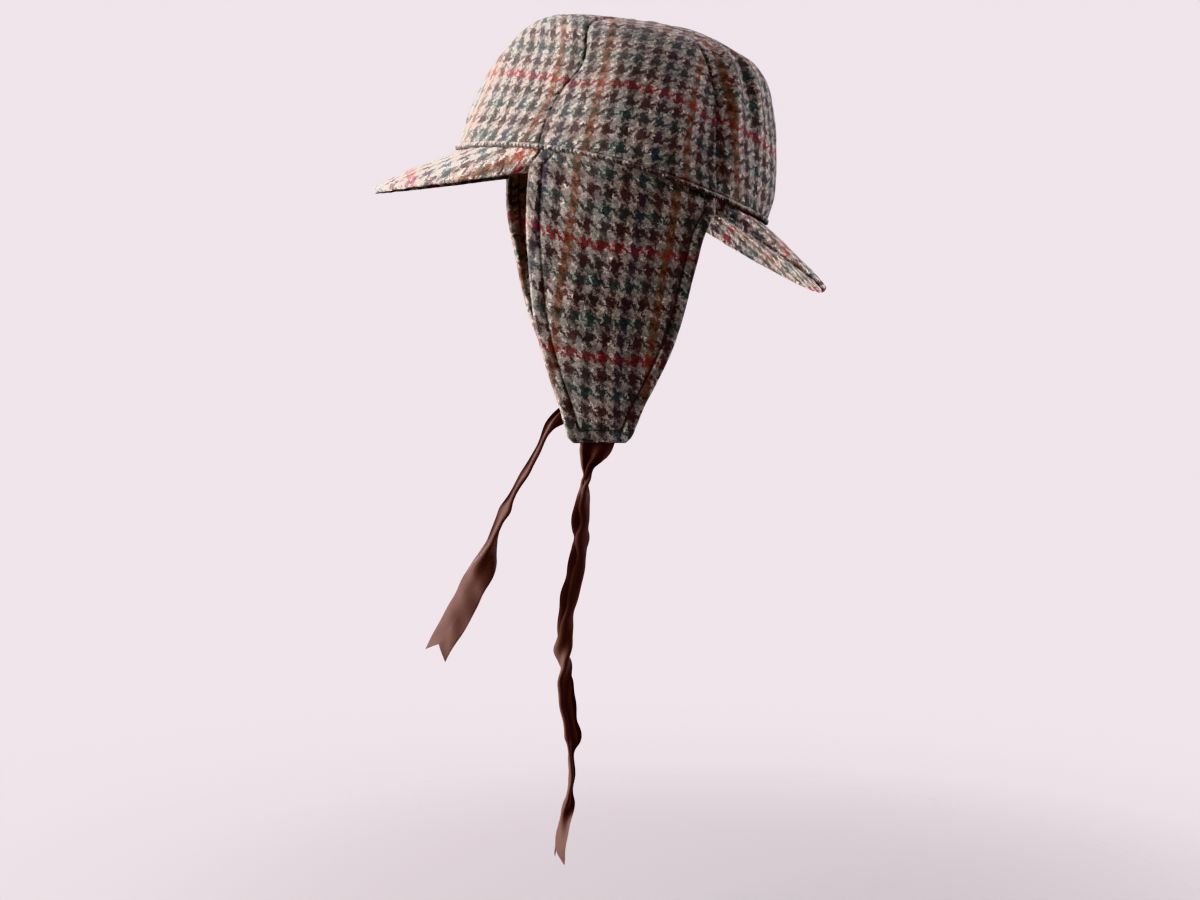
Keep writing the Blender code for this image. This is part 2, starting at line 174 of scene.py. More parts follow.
SWALLOW_TAIL = 8.0
SHARP_ANGLE = 55.0         # edges that turn by more are shaded as sharp

# How uneven the cloth is: its lumps by height, wavelength and the seed that places them.
Ripple = namedtuple("Ripple", "height wavelength seed")
PANEL_RIPPLES = (Ripple(0.55, 46.0, 11), Ripple(0.16, 15.0, 12))
HEM_RIPPLES = (Ripple(0.18, 13.0, 14), Ripple(0.24, 3.6, 15))
PEAK_RIPPLES = (Ripple(0.35, 38.0, 21),)
PEAK_RIM_RIPPLES = (Ripple(0.12, 7.0, 22),)
FLAP_RIPPLES = (Ripple(0.16, 12.0, 31), Ripple(0.1, 6.0, 32))
FLAP_SWAY = {
    1: (Ripple(0.8, 75.0, 34), Ripple(0.25, 28.0, 35)),
    -1: (Ripple(0.8, 75.0, 32), Ripple(0.25, 28.0, 35)),
}

# The weave: a check repeats after eight threads, four dark and four pale, and the colours
# of the dark ones repeat after six checks. A check is about 10 mm wide and high.
CHECK_THREADS = 8
REPEAT_THREADS = 48
DARK_MIDDLE = 0.25         # a check's dark threads have their middle this far into it
FIRST_REPEAT = 20          # counting starts here, so that no count is under 0


# ---- Curves, frames and noise ----
def through(places, values, at):
    """A smooth curve through the values at rising places, read at an array of places."""
    places = np.asarray(places, float)
    values = np.asarray(values, float)
    slopes = np.gradient(values, places)
    at = np.asarray(at, float)
    k = np.clip(np.searchsorted(places, at) - 1, 0, len(places) - 2)
    span = places[k + 1] - places[k]
    t = (at - places[k]) / span
    blend = t * t * (3.0 - 2.0 * t)
    bend = t * (1.0 - t) ** 2 * slopes[k] + t * t * (t - 1.0) * slopes[k + 1]
    return values[k] + (values[k + 1] - values[k]) * blend + span * bend


def ease(t):
    t = np.clip(t, 0.0, 1.0)
    return t * t * (3.0 - 2.0 * t)


def mix(a, b, t):
    return a + (b - a) * t


def bell(distance, spread):
    return np.exp(-((distance / spread) ** 2))


def unit(vectors):
    return vectors / np.linalg.norm(vectors, axis=-1, keepdims=True)


def worn(points):
    """Tips points of the crown's own frame back to where it is worn."""
    tilt = radians(WORN_TILT)
    x, y, z = np.moveaxis(points, -1, 0)
    return np.stack([x, y * cos(tilt) + z * sin(tilt), z * cos(tilt) - y * sin(tilt)], axis=-1)


def ripple(points, wavelength, seed, waves=9):
    """Smooth noise of about unit height: plane waves in random directions."""
    draw = np.random.default_rng(seed)
    directions = unit(draw.normal(size=(waves, 3)))
    phases = draw.uniform(0.0, 2.0 * pi, waves)
    lengths = wavelength * draw.uniform(0.7, 1.5, waves)
    total = np.zeros(points.shape[:-1])
    for direction, phase, length in zip(directions, phases, lengths):
        total += np.sin(points @ direction * 2.0 * pi / length + phase)
    return total / np.sqrt(0.5 * waves)


def rippled(points, ripples):
    return sum(height * ripple(points, wavelength, seed) for height, wavelength, seed in ripples)


def grid_normals(grid):
    down = np.gradient(grid, axis=0, edge_order=2)
    across = np.gradient(grid, axis=1, edge_order=2)
    return unit(np.cross(across, down))


def lengths_along(grid, axis):
    """Distance travelled along the rows or columns of a grid of points."""
    steps = np.linalg.norm(np.diff(grid, axis=axis), axis=-1)
    start = np.zeros_like(np.take(steps, [0], axis=axis))
    return np.concatenate([start, np.cumsum(steps, axis=axis)], axis=axis)


# ---- Meshes ----
def skin(name, outer, inner, maps, finish, node):
    """A closed piece between two grids of points, with UV maps given for each of the grids."""
    rows, columns = outer.shape[:2]
    points = np.concatenate([outer.reshape(-1, 3), inner.reshape(-1, 3)])
    index = np.arange(rows * columns).reshape(rows, columns)
    quads = np.stack([index[:-1, :-1], index[1:, :-1], index[1:, 1:], index[:-1, 1:]], axis=-1)
    quads = quads.reshape(-1, 4)
    under = quads[:, ::-1] + rows * columns
    rim = np.concatenate([index[0], index[1:, -1], index[-1, -2::-1], index[-2:0:-1, 0]])
    after = np.roll(rim, -1)
    strip = np.stack([rim, after, after + rows * columns, rim + rows * columns], axis=-1)
    faces = np.concatenate([quads, under, strip])
    mesh = bpy.data.meshes.new(name)
    mesh.from_pydata((points * MM).tolist(), [], faces.tolist())
    corners = np.empty(len(mesh.loops), dtype=np.int32)
    mesh.loops.foreach_get("vertex_index", corners)
    for title, sides in maps.items():
        layer = mesh.uv_layers.new(name=title)
        places = np.concatenate([side.reshape(-1, 2) for side in sides])
        layer.data.foreach_set("uv", places[corners].astype(np.float32).ravel())
    shaped = bmesh.new()
    shaped.from_mesh(mesh)
    bmesh.ops.recalc_face_normals(shaped, faces=shaped.faces)
    shaped.to_mesh(mesh)
    shaped.free()
    mesh.shade_smooth()
    mesh.set_sharp_from_angle(angle=radians(SHARP_ANGLE))
    mesh.materials.append(finish)
    piece = bpy.data.objects.new(name, mesh)
    bpy.context.collection.objects.link(piece)
    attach(piece, "root")
    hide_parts(node)
    return piece


def threads(columns, rows):
    """Thread counts from counts of checks: whole ones lie in the middle of dark threads."""
    counts = np.stack(np.broadcast_arrays(columns, rows), axis=-1)
    return (counts + DARK_MIDDLE) * CHECK_THREADS + FIRST_REPEAT * REPEAT_THREADS


# How the threads lie over a piece, in checks: where the count starts, how many come to a span
# across and to a span up, and how the count strays where the cloth was stretched. It fans out
# (across times up), bows (a square), swells or tapers (a square times the other way) and bends
# towards the far ends (a cube).
Lie = namedtuple(
    "Lie",
    "start across up fan up_bow across_bow swell taper up_bend across_bend",
    defaults=(0.0,) * 7,
)
LIE_SPAN = 50.0


def drawn_out(lie, u, v):
    """A count of checks over a piece, at distances across it and up it."""
    u = u / LIE_SPAN
    v = v / LIE_SPAN
    count = lie.start + lie.across * u + lie.up * v + lie.fan * u * v
    count = count + lie.up_bow * v**2 + lie.across_bow * u**2
    count = count + lie.swell * u**2 * v + lie.taper * u * v**2
    return count + lie.up_bend * v**3 + lie.across_bend * u**3


# ---- Crown ----
LEVELS = np.linspace(0.0, 1.0, len(CROWN_SECTIONS))
CROWN_TOP = max(section.height for section in CROWN_SECTIONS)


def crown_column(name, level):
    return through(LEVELS, [getattr(section, name) for section in CROWN_SECTIONS], level)


def level_of(height):
    return LEVELS[1] * height / CROWN_SECTIONS[1].height


def crown_base(azimuth, level):
    turn = np.radians(azimuth)
    height = crown_column("height", level)
    reach = np.where(np.cos(turn) > 0.0, crown_column("front", level), crown_column("back", level))
    climbed = height / CROWN_TOP
    arch = HEM_LEVEL + np.sin(turn) ** 2 * (HEM_ARCH + HEM_SKEW * np.cos(turn))
    lift = BACK_LIFT * 0.5 * (1.0 - np.cos(turn)) * climbed**2
    z = height + arch * (1.0 - climbed) ** 2 + lift
    return np.stack([crown_column("side", level) * np.sin(turn), -reach * np.cos(turn), z], axis=-1)


def crown_normal(azimuth, level):
    step = 0.004
    around = crown_base(azimuth + 0.5, level) - crown_base(azimuth - 0.5, level)
    low = np.clip(level - step, 0.0, 1.0 - 3.0 * step)
    up = crown_base(azimuth, low + 2.0 * step) - crown_base(azimuth, low)
    return unit(np.cross(around, up))


def seam_azimuth(seam, level):
    return mix(seam.hem, seam.top, crown_column("height", level) / CROWN_TOP)


def seam_bow(seam, level):
    """How far a sewn seam strays from the straight line of the cut, in degrees."""
    bows = [bow for bow in SEAM_BOWS if bow.seam == seam]
    return sum(bow.shift * bell(level - bow.level, bow.reach) for bow in bows)


def dented(hand, azimuth, level):
    depth = np.zeros(np.shape(azimuth))
    for dent in DENTS + FOLDS:
        if dent.hand == hand:
            across = bell(azimuth - dent.azimuth, dent.spread)
            depth += dent.depth * across * bell(level - dent.level, dent.reach)
    return depth


# Where each panel's threads lie: checks counted back from a rust-coloured column and down
# from a red row, by the distance from the panel's middle line and from its hem.
PanelCut = namedtuple("PanelCut", "name puff squareness columns rows")
FRONT_COLUMNS = Lie(-3.5, 5.1, -3.8, fan=0.4, up_bow=2.75, across_bow=0.7)
FRONT_ROWS = Lie(4.75, -0.2, -5.4, up_bow=0.4)
SIDE_COLUMNS = Lie(2.85, 4.3, -0.2, 1.45, -0.25, -0.1, taper=-0.65, up_bend=0.08, across_bend=0.3)
SIDE_ROWS = Lie(5.05, 0.6, -4.8, -0.1, -0.5, -0.4, -0.1, up_bend=0.19, across_bend=-0.3)
BACK_COLUMNS = Lie(2.8, 4.85, 1.2, up_bow=-0.6)
BACK_ROWS = Lie(4.4, -0.6, -4.9)
PANEL_CUTS = (
    PanelCut("front", 1.6, 4, FRONT_COLUMNS, FRONT_ROWS),
    PanelCut("side", 2.4, 2, SIDE_COLUMNS, SIDE_ROWS),
    PanelCut("back", 1.6, 4, BACK_COLUMNS, BACK_ROWS),
)
STRETCH_LIMIT = 128.0      # above this the columns run on straight

# Where a seam strays from the straight line of the cut, and how far, in degrees.
SeamBow = namedtuple("SeamBow", "seam shift level reach")
SEAM_BOWS = (
    SeamBow(SEAMS[1], 6.5, 0.37, 0.15),
    SeamBow(SEAMS[1], -10.0, 0.78, 0.16),
    SeamBow(SEAMS[2], 3.0, 0.42, 0.2),
)


def crown_panel(cut, start, end, hand, finish):
    """One cloth panel: swollen between its seams, dented, with a rolled hem and sewn edges."""
    roll_levels = [level_of(height) for height in ROLL_HEIGHTS]
    levels = np.concatenate([roll_levels, np.linspace(level_of(PANEL_START), PANEL_END, PANEL_ROWS)])
    spacing = np.linspace(-1.0, 1.0, PANEL_COLUMNS + 1)
    crowded = np.sin(0.5 * pi * spacing)
    across = 0.5 + 0.5 * mix(spacing, crowded, SEAM_CROWDING)
    level = levels[:, None] * np.ones_like(across)[None, :]
    low, high = seam_azimuth(start, level), seam_azimuth(end, level)
    low_bow, high_bow = seam_bow(start, level), seam_bow(end, level)
    azimuth = mix(low + low_bow, high + high_bow, across[None, :])
    base = crown_base(azimuth, level)
    normal = crown_normal(azimuth, level)

    around = lengths_along(base, 1)
    climb = lengths_along(base, 0)
    to_seam = np.minimum(around, around[:, -1:] - around)
    off_middle = np.abs(2.0 * across[None, :] - 1.0)
    puff = cut.puff * (1.0 - off_middle**cut.squareness) * ease(level / PUFF_LEVEL)
    groove = SEAM_DEPTH * bell(to_seam, SEAM_WIDTH)
    groove -= SEAM_RIDGE * bell(to_seam - SEAM_RIDGE_PLACE, SEAM_RIDGE_WIDTH)
    phase = 2.0 * pi * climb / PUCKER_PITCH + 1.4 * np.sin(climb / 9.0)
    pucker = PUCKER_DEPTH * np.sin(phase) * bell(to_seam, PUCKER_REACH)
    place = base * (hand, 1.0, 1.0)
    uneven = rippled(place, PANEL_RIPPLES)
    settled = ease((climb - 3.0) / 9.0)
    swell = puff - dented(hand, azimuth, level) + (uneven + pucker) * settled
    swell -= groove * ease((climb - 1.0) / 4.0)

    # The hem is turned up and rolled: it swells out and closes under itself.
    rolled = np.clip(climb / HEM_HEIGHT, 0.0, 1.0)
    roll = HEM_ROLL * np.sqrt(np.clip(1.0 - (2.0 * rolled - 1.0) ** 2, 0.0, 1.0))
    roll *= climb <= HEM_HEIGHT + 0.01
    fade_start, fade_end = HEM_FADE
    roll *= mix(1.0, HEM_BACK, ease((azimuth - fade_start) / (fade_end - fade_start)))
    crease = -HEM_CREASE * bell(climb - HEM_HEIGHT - 0.3, 0.6)
    knots = rippled(place, HEM_RIPPLES)
    wave = knots * bell(climb - 0.5 * HEM_HEIGHT, 0.6 * HEM_HEIGHT)
    outer = base + normal * (swell + roll + crease + wave)[..., None]
    ahead = np.maximum(np.cos(np.radians(azimuth)), 0.0)
    outer[..., 2] -= HEM_SAG * ahead * (1.0 - ease(climb / 9.0))
    thickness = PANEL_CLOTH * np.ones_like(level)
    thickness[0] = HEM_CLOTH
    inner = base + normal * (np.minimum(swell, 0.6) * settled - thickness)[..., None]

    from_middle = around - around[:, PANEL_COLUMNS // 2][:, None]
    from_middle += 0.5 * (low_bow + high_bow) * around[:, -1:] / (high + high_bow - low - low_bow)
    columns = drawn_out(cut.columns, from_middle, np.minimum(climb, STRETCH_LIMIT))
    cloth = threads(hand * columns, drawn_out(cut.rows, from_middle, climb))
    name = f"crown_panel_{cut.name}_{'left' if hand > 0 else 'right'}"
    flip = slice(None, None, hand)
    mirror = (hand, 1.0, 1.0)
    hem = np.stack([around, climb], axis=-1)
    maps = {"cloth": (cloth[:, flip],) * 2, "edge": (hem[:, flip],) * 2}
    outside, inside = worn(outer * mirror)[:, flip], worn(inner * mirror)[:, flip]
    return skin(name + "_cloth", outside, inside, maps, finish, name)


# ---- Peaks ----
def inside_hem(azimuth, climb, thickness):
    """The middle of a sheet that lies against the inside of the crown, above its hem."""
    level = level_of(climb) * np.ones_like(azimuth)
    inset = CROWN_WALL + PIECE_GAP + 0.5 * thickness
    return crown_base(azimuth, level) - crown_normal(azimuth, level) * inset


def peak_edge(peak, share):
    sweep = 0.5 * pi * share
    reach = mix(peak.corner_reach, peak.tip_reach, np.cos(sweep))
    forward = (reach - peak.corner_reach) / (peak.tip_reach - peak.corner_reach)
    drop = mix(peak.corner_drop, peak.tip_drop, forward)
    side = peak.corner_side * np.sin(sweep) + PEAK_SPREAD * np.sin(2.0 * sweep)
    return np.stack([side, peak.facing * reach, -drop], axis=-1)


# Where a rust-coloured column and a red row lie on each peak, sideways and lengthways.
PEAK_CUTS = {"front_peak": (63.0, 68.9), "back_peak": (52.0, 108.0)}
PEAK_CHECK = (10.3, 9.75)  # how wide and how long a check is there
PEAK_UNDER_SHIFT = 27.0    # the cloth below a peak is cut this far beside the upper one
PEAK_CROWNING = 1.3        # a peak bulges up this much between the hem and its edge


def peak_piece(shape, finish):
    """A stiff peak of two cloths, stitched round just inside its rounded edge."""
    share = np.linspace(-1.0, 1.0, PEAK_COLUMNS + 1)
    azimuth = share * shape.end_azimuth
    if shape.facing > 0:
        azimuth = 180.0 - azimuth
    half = 0.5 * BRIM_THICKNESS
    root = inside_hem(azimuth, 0.0, BRIM_THICKNESS)
    edge = peak_edge(shape, share)
    edge[:, 2] += PEAK_LIFT[shape.name] * (share**4 - 0.4 * (1.0 - share**2) ** 2)
    fall = root[:, 2] - edge[:, 2]
    run = np.linalg.norm((edge - root)[:, :2], axis=1)
    drop = TUCK_DROP + half * np.tan(0.5 * (0.5 * pi - np.arctan2(fall, run)))
    bend = root - np.stack([0.0 * drop, 0.0 * drop, drop], axis=1)
    length = np.linalg.norm(edge - bend, axis=1)

    grid = [inside_hem(azimuth, climb, BRIM_THICKNESS) for climb in PEAK_TUCK_ROWS]
    from_edge = [np.full(len(share), FAR)] * len(PEAK_TUCK_ROWS)
    rim_start = np.minimum(PEAK_RIM_START, 0.5 * length)
    for step in np.linspace(0.0, 1.0, PEAK_ROWS) ** 0.9:
        left = mix(length, rim_start, step)
        grid.append(mix(edge, bend, (left / length)[:, None]))
        from_edge.append(left)
    for inset in PEAK_RIM_ROWS:
        left = inset / PEAK_RIM_START * rim_start
        grid.append(mix(edge, bend, (left / length)[:, None]))
        from_edge.append(left)
    grid = np.array(grid)
    from_edge = np.array(from_edge)
    out = np.clip(1.0 - from_edge / length[None, :], 0.0, 1.0)
    bulge = PEAK_CROWNING * np.sin(pi * out) * (1.0 - share[None, :] ** 6)
    uneven = rippled(grid, PEAK_RIPPLES) * ease(from_edge / 12.0) * (from_edge < FAR)
    grid[..., 2] += bulge + uneven

    near = np.clip(from_edge / PEAK_EDGE_RADIUS, 0.0, 1.0)
    rim = mix(*PEAK_RIM, ease(np.abs(share) / 0.6))
    rounded = np.sqrt(np.clip(1.0 - (1.0 - near) ** 2, LEAST_ROUND, 1.0))
    thick = half * mix(rim, 1.0, ease(from_edge / PEAK_THINNING)) * rounded
    stitch = PEAK_STITCH_DEPTH * bell(from_edge - PEAK_STITCH_INSET, PEAK_STITCH_WIDTH)
    lumps = rippled(grid, PEAK_RIM_RIPPLES) * bell(from_edge - 2.0, 4.0)
    normals = grid_normals(grid)
    upward = np.sign(np.sum(normals[..., 2]))
    top = grid + normals * upward * (thick - stitch + lumps)[..., None]
    bottom = grid - normals * upward * (thick - stitch + lumps)[..., None]
    rust, red = PEAK_CUTS[shape.name]

    # Seen flat, the cloth reaches as far sideways as it runs down beside the head.
    fall_ahead = shape.tip_drop / (shape.tip_reach - abs(root[:, 1]).max())
    steps = np.diff(grid, axis=0)
    beside = np.hypot(steps[..., 0], steps[..., 2] + fall_ahead * shape.facing * steps[..., 1])
    beside = np.concatenate([np.zeros((1, len(share))), np.cumsum(beside, axis=0)])
    beside = np.maximum(beside - beside[len(PEAK_TUCK_ROWS)], 0.0)
    flat = root[:, 0] + np.sign(share) * beside

    def cloth_of(face, shift):
        wrapped = lengths_along(face, 0) - lengths_along(grid, 0)
        sideways = flat + wrapped * np.sin(0.5 * pi * share)
        ahead = shape.facing * grid[..., 1] + wrapped * np.cos(0.5 * pi * share)
        columns = (sideways - rust + shift) / PEAK_CHECK[0]
        return threads(columns, shape.facing * (ahead - red + 0.6 * shift) / PEAK_CHECK[1])

    rim_places = np.stack([lengths_along(grid, 1), from_edge], axis=-1)
    cloth = (cloth_of(top, 0.0), cloth_of(bottom, PEAK_UNDER_SHIFT))
    maps = {"cloth": cloth, "edge": (rim_places, rim_places)}
    return skin(shape.name + "_cloth", worn(top), worn(bottom), maps, finish, shape.name)


# ---- Ear flaps ----
FLAP_HEIGHTS = [-section.height for section in FLAP_SECTIONS]
FLAP_CUT_MIDDLE = -70.0    # the height from which the flap's threads are counted
FLAP_INNER_SHIFT = 1.7     # the inner cloth is cut this many checks beside the outer one
FLAP_COLUMNS_CUT = Lie(4.25, 4.85, -0.75, -0.2, -0.05, 0.1, -0.15, taper=0.1, up_bend=0.1)
FLAP_ROWS_CUT = Lie(2.45, -0.45, -4.4, -0.15, -0.05, 0.15, 0.0, -0.1, -0.03, across_bend=-0.2)


def flap_column(name, height):
    return through(FLAP_HEIGHTS, [getattr(section, name) for section in FLAP_SECTIONS], -height)


def flap_middle(across, down, swing):
    azimuth = mix(FLAP_ROOT[0], FLAP_ROOT[1], across)
    hem = worn(inside_hem(azimuth, 0.0, FLAP_THICKNESS))
    height = mix(hem[..., 2], FLAP_SECTIONS[-1].height, down)
    off_centre = 2.0 * across - 1.0
    curve = flap_column("curve", height) * mix(FLAP_EASING, 1.0, ease(down / 0.35))
    side = flap_column("side", height) - curve * off_centre**2
    lean = swing * ease(down)
    reach = mix(flap_column("front", height), flap_column("back", height), across)
    free = np.stack([side, reach + lean, height], axis=-1)
    hung = np.stack([hem[..., 0], hem[..., 1], height], axis=-1)
    settle = mix(FLAP_FRONT_SETTLE, FLAP_SETTLE, ease(across / 0.3))
    middle = mix(hung, free, ease(down / settle)[..., None])
    corner = FLAP_REAR_CORNER * bell(down - 0.07, 0.06) * ease(down / 0.04)
    corner = corner * ease((across - 0.75) / 0.25)
    return middle + corner[..., None] * REAR_CORNER_WAY


def flap_piece(name, hand, swing, finish):
    """Two cloths sewn together and turned, stitched round inside a full rounded edge."""
    fine = np.array(FLAP_EDGE_PLACES)
    across = np.concatenate([fine, np.linspace(0.04, 0.96, FLAP_COLUMNS), 1.0 - fine[::-1]])
    down = np.concatenate([np.linspace(0.0, 0.96, FLAP_ROWS), 1.0 - 0.75 * fine[::-1]])
    hanging_part = flap_middle(*np.meshgrid(across, down), swing)
    azimuth = mix(*FLAP_ROOT, across)
    tuck = [worn(inside_hem(azimuth, climb, FLAP_THICKNESS)) for climb in FLAP_TUCK_ROWS]
    grid = np.concatenate([np.array(tuck), hanging_part])
    rows = len(FLAP_TUCK_ROWS)
    drop = np.concatenate([np.zeros(rows), down])[:, None]

    around = lengths_along(grid, 1)
    climbing = lengths_along(grid, 0)
    to_side = np.minimum(around, around[:, -1:] - around)
    to_end = climbing[-1:] - climbing
    to_edge = np.minimum(to_side, to_end)
    hanging = ease((climbing - climbing[rows : rows + 1]) / 10.0)
    hanging[:rows] = 0.0

    half = 0.5 * FLAP_THICKNESS
    close = np.clip(to_edge / FLAP_EDGE_RADIUS, 0.0, 1.0)
    round_edge = np.sqrt(np.clip(1.0 - (1.0 - close) ** 2, LEAST_ROUND, 1.0))
    stitched = STITCH_DEPTH * bell(to_edge - FLAP_STITCH_INSET, FLAP_STITCH_WIDTH) * hanging
    place = grid * (hand, 1.0, 1.0)
    lumps = rippled(place, FLAP_RIPPLES) * hanging
    thick = (half - stitched + lumps) * round_edge
    normals = grid_normals(grid)
    outward = np.sign(np.sum(normals[..., 0]))
    sway = rippled(place, FLAP_SWAY[hand]) * hanging
    grid = grid + normals * outward * sway[..., None]
    outer = grid + normals * outward * thick[..., None]
    inner = grid - normals * outward * thick[..., None]

    def cloth_of(face, shift):
        side_wrap = lengths_along(face, 1) - lengths_along(grid, 1)
        side_wrap -= side_wrap[:, len(across) // 2][:, None]
        end_wrap = lengths_along(face, 0) - lengths_along(grid, 0)
        y = grid[..., 1] + side_wrap - swing * ease(drop)
        z = grid[..., 2] - end_wrap - FLAP_CUT_MIDDLE
        columns = drawn_out(FLAP_COLUMNS_CUT, y, z) + shift
        return threads(hand * columns, -drawn_out(FLAP_ROWS_CUT, y, z) - 0.3 * shift)

    mirror = (hand, 1.0, 1.0)
    flip = slice(None, None, hand)
    rim_places = np.stack([climbing + around, to_edge], axis=-1)[:, flip]
    cloth = (cloth_of(outer, 0.0)[:, flip], cloth_of(inner, FLAP_INNER_SHIFT)[:, flip])
    maps = {"cloth": cloth, "edge": (rim_places, rim_places)}
    outside, inside = (outer * mirror)[:, flip], (inner * mirror)[:, flip]
    return skin(name + "_cloth", outside, inside, maps, finish, name)


# ---- Ribbon ties ----
# One row for each bend: where the folded ribbon's middle is, how far it is turned about its
# own length, the angle that it is folded through, how wide the fold is, how far from the
# ribbon's middle it lies, and how steeply the ribbon is gathered into pleats.
Bend = namedtuple("Bend", "height reach side turn fold width crease pleat")
LEFT_TIE = [Bend(*row) for row in (
    (-146.0, -18.6, 66.0, 0.0, 6.0, 18.0, 0.0, 0.0),
    (-161.7, -19.8, 64.6, 0.0, 10.0, 18.0, 0.0, 20.0),
    (-169.5, -23.2, 64.4, 5.0, 20.0, 16.0, 0.0, 60.0),
    (-176.0, -25.4, 64.0, 15.0, 40.0, 14.0, 0.0, 98.0),
    (-182.0, -25.6, 63.8, 34.0, 60.0, 12.0, 0.0, 120.0),
    (-188.5, -26.6, 63.6, 60.0, 130.0, 9.0, 0.0, 88.0),
    (-196.0, -27.4, 63.4, 70.0, 155.0, 9.0, 0.3, 30.0),
    (-202.0, -28.3, 63.2, 73.0, 165.0, 10.0, 0.4, 14.0),
    (-211.0, -29.5, 63.0, 70.0, 165.0, 10.0, 1.3, 10.0),
    (-221.0, -29.1, 62.8, 76.0, 168.0, 11.0, -0.2, 24.0),
    (-234.0, -31.2, 62.4, 71.0, 165.0, 10.0, 1.3, 4.0),
    (-245.0, -32.8, 62.0, 76.0, 165.0, 10.0, 0.2, 4.0),
    (-259.0, -36.5, 61.6, 71.0, 165.0, 10.0, 1.5, 8.0),
    (-275.0, -38.7, 61.2, 78.0, 165.0, 10.0, 0.2, 20.0),
    (-285.0, -39.8, 61.0, 96.0, 165.0, 8.0, 0.0, 20.0),
    (-293.0, -40.4, 60.9, 142.0, 145.0, 8.0, 0.0, 20.0),
    (-301.0, -39.8, 60.8, 200.0, 150.0, 8.0, 0.0, 20.0),
    (-309.0, -39.2, 60.6, 240.0, 165.0, 8.0, -1.2, 20.0),
    (-322.0, -38.1, 60.4, 252.0, 165.0, 9.0, -1.8, 24.0),
    (-338.0, -36.0, 60.2, 250.0, 165.0, 9.0, -1.8, 30.0),
    (-349.0, -33.8, 60.0, 244.0, 160.0, 8.0, -2.8, 30.0),
    (-358.0, -36.0, 60.0, 212.0, 165.0, 6.0, -0.6, 56.0),
    (-372.0, -35.4, 60.0, 211.0, 170.0, 6.0, 0.0, 62.0),
    (-385.0, -37.0, 60.0, 214.0, 165.0, 6.0, 0.0, 66.0),
    (-392.0, -38.6, 60.0, 240.0, 110.0, 9.0, 0.0, 56.0),
    (-398.0, -40.2, 60.0, 258.0, 70.0, 12.0, 0.0, 36.0),
    (-405.0, -41.6, 60.0, 262.0, 50.0, 14.0, 0.0, 14.0),
    (-412.0, -42.8, 60.0, 261.0, 44.0, 16.0, 0.0, 0.0),
    (-419.0, -43.6, 60.0, 259.0, 34.0, 16.0, 0.0, 0.0),
)]
RIGHT_TIE = [Bend(*row) for row in (
    (-139.0, -2.0, 65.2, 0.0, 4.0, 18.0, 0.0, 0.0),
    (-146.0, -13.0, 64.4, 0.0, 10.0, 18.0, 0.0, 20.0),
    (-152.0, -25.0, 61.2, 14.0, 50.0, 14.0, 0.0, 80.0),
    (-157.0, -31.8, 57.6, 24.0, 110.0, 9.0, 0.2, 80.0),
    (-164.0, -37.3, 56.0, 30.0, 160.0, 6.0, 0.5, 70.0),
    (-176.0, -43.2, 55.2, 26.0, 175.0, 4.0, 0.5, 66.0),
    (-187.0, -49.6, 54.8, 32.0, 175.0, 5.0, 0.3, 60.0),
    (-199.0, -56.6, 54.4, 26.0, 175.0, 5.0, 0.6, 54.0),
    (-209.0, -62.6, 54.0, 34.0, 175.0, 5.0, 0.2, 60.0),
    (-215.5, -65.2, 53.7, 38.0, 172.0, 6.0, 0.5, 30.0),
    (-223.0, -69.2, 53.4, 28.0, 172.0, 5.0, 0.6, 52.0),
    (-231.0, -72.2, 53.2, 24.0, 165.0, 6.0, 0.5, 46.0),
    (-238.0, -74.6, 52.8, 8.0, 150.0, 8.0, 0.0, 40.0),
    (-245.5, -78.4, 52.4, -22.0, 110.0, 10.0, -1.0, 26.0),
    (-254.0, -82.4, 52.0, -44.0, 76.0, 12.0, -3.0, 10.0),
    (-266.0, -88.6, 51.6, -50.0, 50.0, 12.0, -4.0, 2.0),
    (-283.0, -97.4, 50.8, -50.0, 38.0, 14.0, -4.0, 0.0),
    (-305.0, -110.4, 49.8, -50.0, 26.0, 18.0, 0.0, 0.0),
)]
PLEAT_PITCH = 11.0
FULL_FOLD = 165.0          # a ribbon folded through this angle lies closed
RIBBON_CURL = 20.0         # then one edge curls in by this angle
CURL_START = 3.5           # this far from the fold
CURL_WIDTH = 7.5
TAIL_START = 32.0          # the swallow tail begins this far from the end
FLUTTER = (0.35, 0.25)     # heights of two small waves that run along a hanging ribbon
FLUTTER_START = 16.0       # they begin this far from its upper end


def folded(fold, width, crease, pleat, across):
    """A ribbon's cross-section, folded, gathered and curled, and centred on its own extent."""
    place = across * 0.5 * RIBBON_WIDTH
    angle = radians(fold) * (ease((place - crease) / width + 0.5) - 0.5)
    angle += radians(pleat) * np.cos(2.0 * pi * place / PLEAT_PITCH)
    curl = ease((place - crease - CURL_START) / CURL_WIDTH)
    angle += radians(RIBBON_CURL) * curl * min(fold / FULL_FOLD, 1.0)
    step = np.diff(place)
    middle = 0.5 * (angle[1:] + angle[:-1])
    x = np.concatenate([[0.0], np.cumsum(np.cos(middle) * step)])
    y = np.concatenate([[0.0], np.cumsum(np.sin(middle) * step)])
    x -= 0.5 * (x.max() + x.min())
    y -= 0.5 * (y.max() + y.min())
    return x, y


